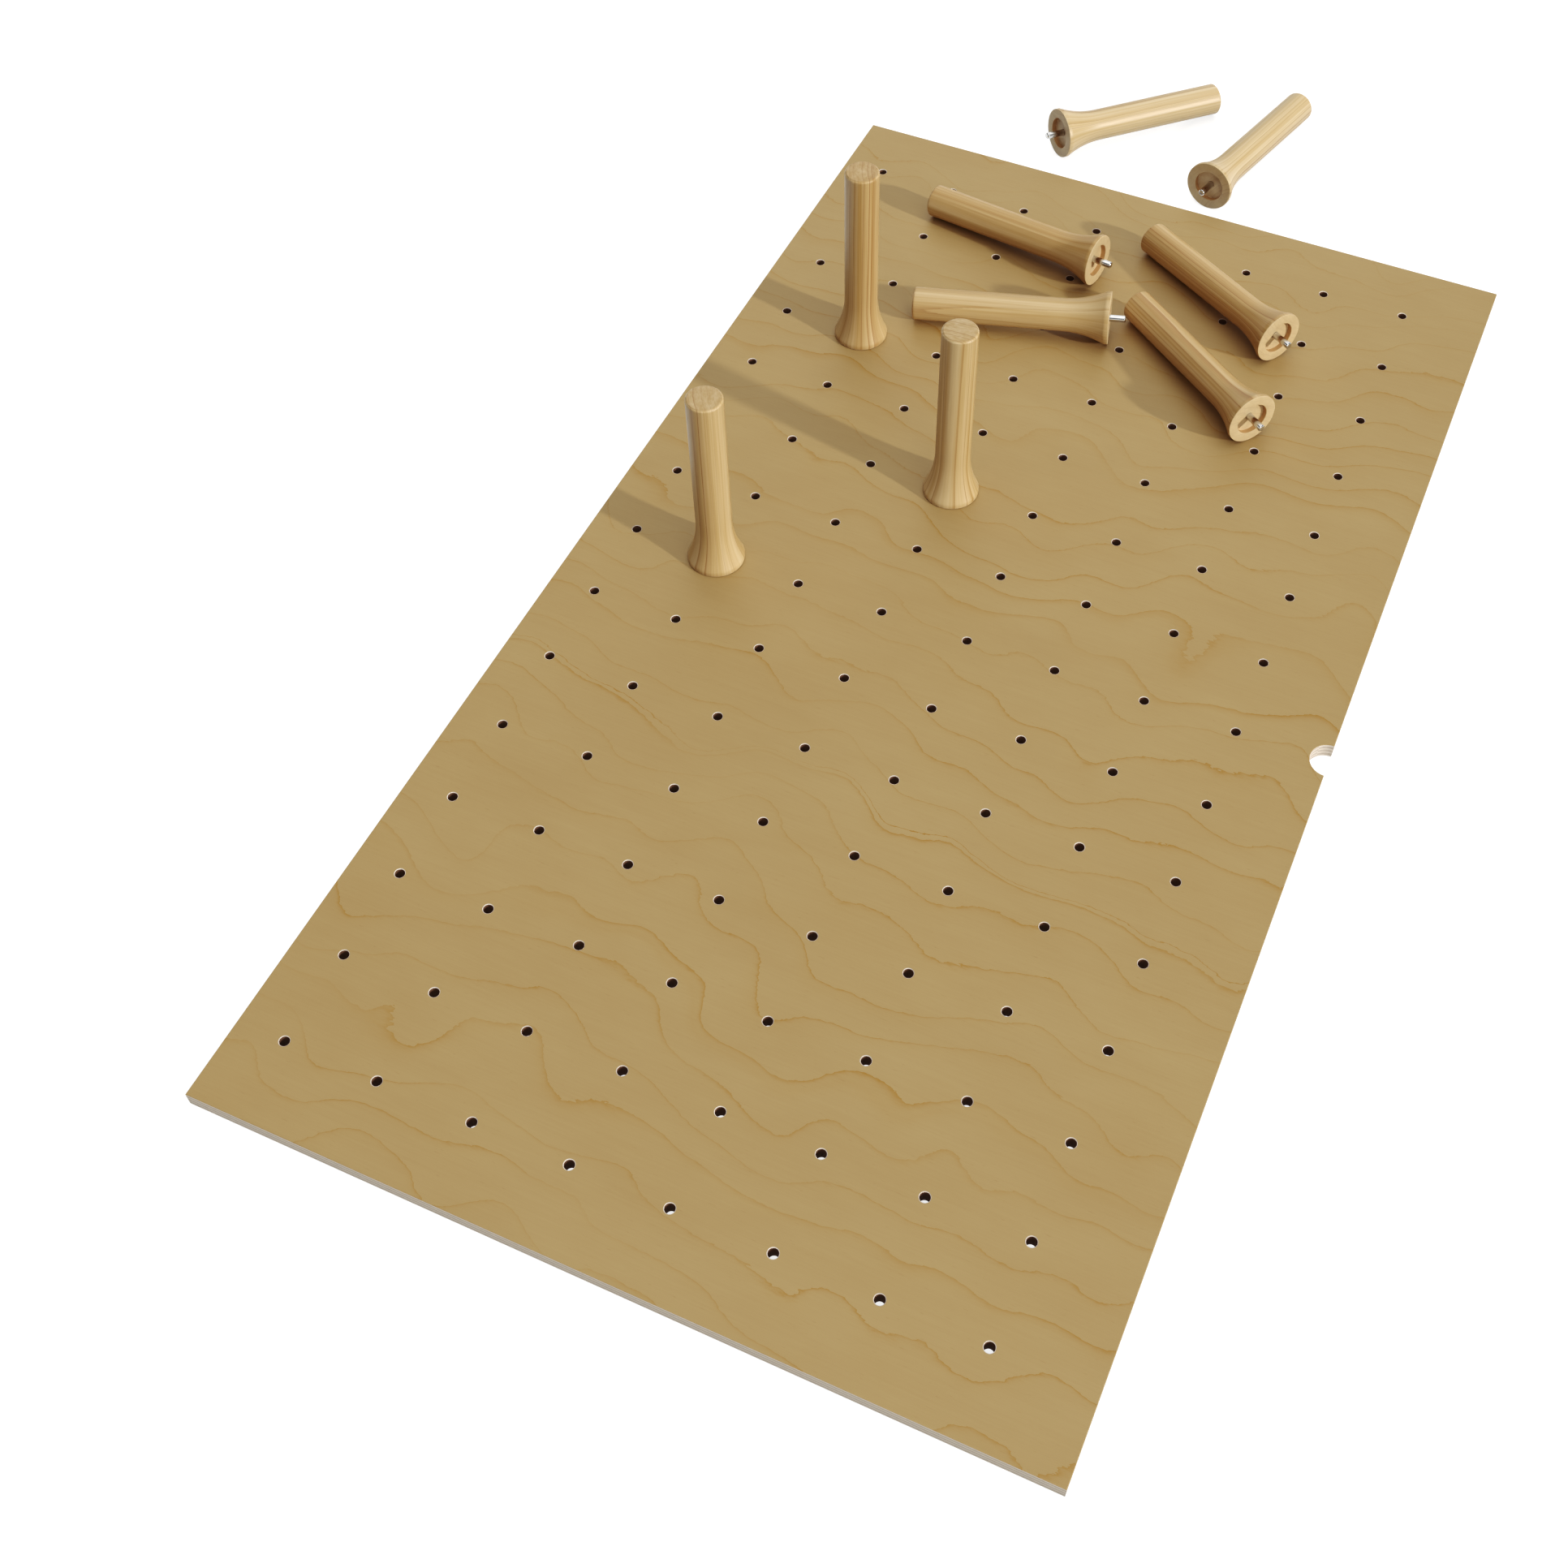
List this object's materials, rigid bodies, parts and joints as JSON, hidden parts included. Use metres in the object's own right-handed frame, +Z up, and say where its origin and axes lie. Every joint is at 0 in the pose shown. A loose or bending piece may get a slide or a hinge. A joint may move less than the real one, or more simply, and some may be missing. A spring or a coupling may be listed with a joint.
{
  "type": "drawer peg board",
  "caption": "Flat plywood board with a square grid of through holes and a finger notch, and turned wooden pegs with flared feet whose steel pins drop into the holes.",
  "frame": {"origin": "centre of the board's underside", "axes": "+X across the board's width towards the edge with the finger notch, +Y along its length towards the edge with the loose pegs, +Z up out of the face with the pegs"},
  "size_m": [0.54, 1.173, 0.1647],
  "materials": {
    "board_birch": "rotary-cut birch plywood, clear satin finish, light stripes of its plies on the edges",
    "post_wood": "turned light hardwood with straight brown grain, clear satin finish",
    "pin_steel": "bright turned steel"
  },
  "bodies": {
    "board": {"board": "board_birch"},
    "standing_pin_1": {"pin_standing_1": "pin_steel"},
    "standing_post_1": {"post_standing_1": "post_wood"},
    "standing_pin_2": {"pin_standing_2": "pin_steel"},
    "standing_post_2": {"post_standing_2": "post_wood"},
    "standing_pin_3": {"pin_standing_3": "pin_steel"},
    "standing_post_3": {"post_standing_3": "post_wood"},
    "peg_on_board_1": {"post_on_board_1": "post_wood", "pin_on_board_1": "pin_steel"},
    "peg_on_board_2": {"post_on_board_2": "post_wood", "pin_on_board_2": "pin_steel"},
    "peg_on_board_3": {"post_on_board_3": "post_wood", "pin_on_board_3": "pin_steel"},
    "peg_on_board_4": {"post_on_board_4": "post_wood", "pin_on_board_4": "pin_steel"},
    "peg_loose_1": {"post_loose_1": "post_wood", "pin_loose_1": "pin_steel"},
    "peg_loose_2": {"post_loose_2": "post_wood", "pin_loose_2": "pin_steel"}
  },
  "joints": [
    {"name": "lift_standing_1", "type": "slide", "parent": "board", "child": "standing_pin_1", "axis": [0, 0, 1], "range_m": [0, 0.175]},
    {"name": "spin_standing_1", "type": "hinge", "parent": "standing_pin_1", "child": "standing_post_1", "pos_m": [-0.1735, -0.002, 0.012], "axis": [0, 0, 1], "continuous": true},
    {"name": "lift_standing_2", "type": "slide", "parent": "board", "child": "standing_pin_2", "axis": [0, 0, 1], "range_m": [0, 0.175]},
    {"name": "spin_standing_2", "type": "hinge", "parent": "standing_pin_2", "child": "standing_post_2", "pos_m": [-0.0465, 0.125, 0.012], "axis": [0, 0, 1], "continuous": true},
    {"name": "lift_standing_3", "type": "slide", "parent": "board", "child": "standing_pin_3", "axis": [0, 0, 1], "range_m": [0, 0.175]},
    {"name": "spin_standing_3", "type": "hinge", "parent": "standing_pin_3", "child": "standing_post_3", "pos_m": [-0.1735, 0.252, 0.012], "axis": [0, 0, 1], "continuous": true},
    {"name": "lift_on_board_1", "type": "slide", "parent": "board", "child": "peg_on_board_1", "axis": [0, 0, 1], "range_m": [0, 0.175]},
    {"name": "lift_on_board_2", "type": "slide", "parent": "board", "child": "peg_on_board_2", "axis": [0, 0, 1], "range_m": [0, 0.175]},
    {"name": "lift_on_board_3", "type": "slide", "parent": "board", "child": "peg_on_board_3", "axis": [0, 0, 1], "range_m": [0, 0.175]},
    {"name": "lift_on_board_4", "type": "slide", "parent": "board", "child": "peg_on_board_4", "axis": [0, 0, 1], "range_m": [0, 0.175]},
    {"name": "lift_loose_1", "type": "slide", "parent": "board", "child": "peg_loose_1", "axis": [0, 0, 1], "range_m": [0, 0.175]},
    {"name": "lift_loose_2", "type": "slide", "parent": "board", "child": "peg_loose_2", "axis": [0, 0, 1], "range_m": [0, 0.175]}
  ]
}
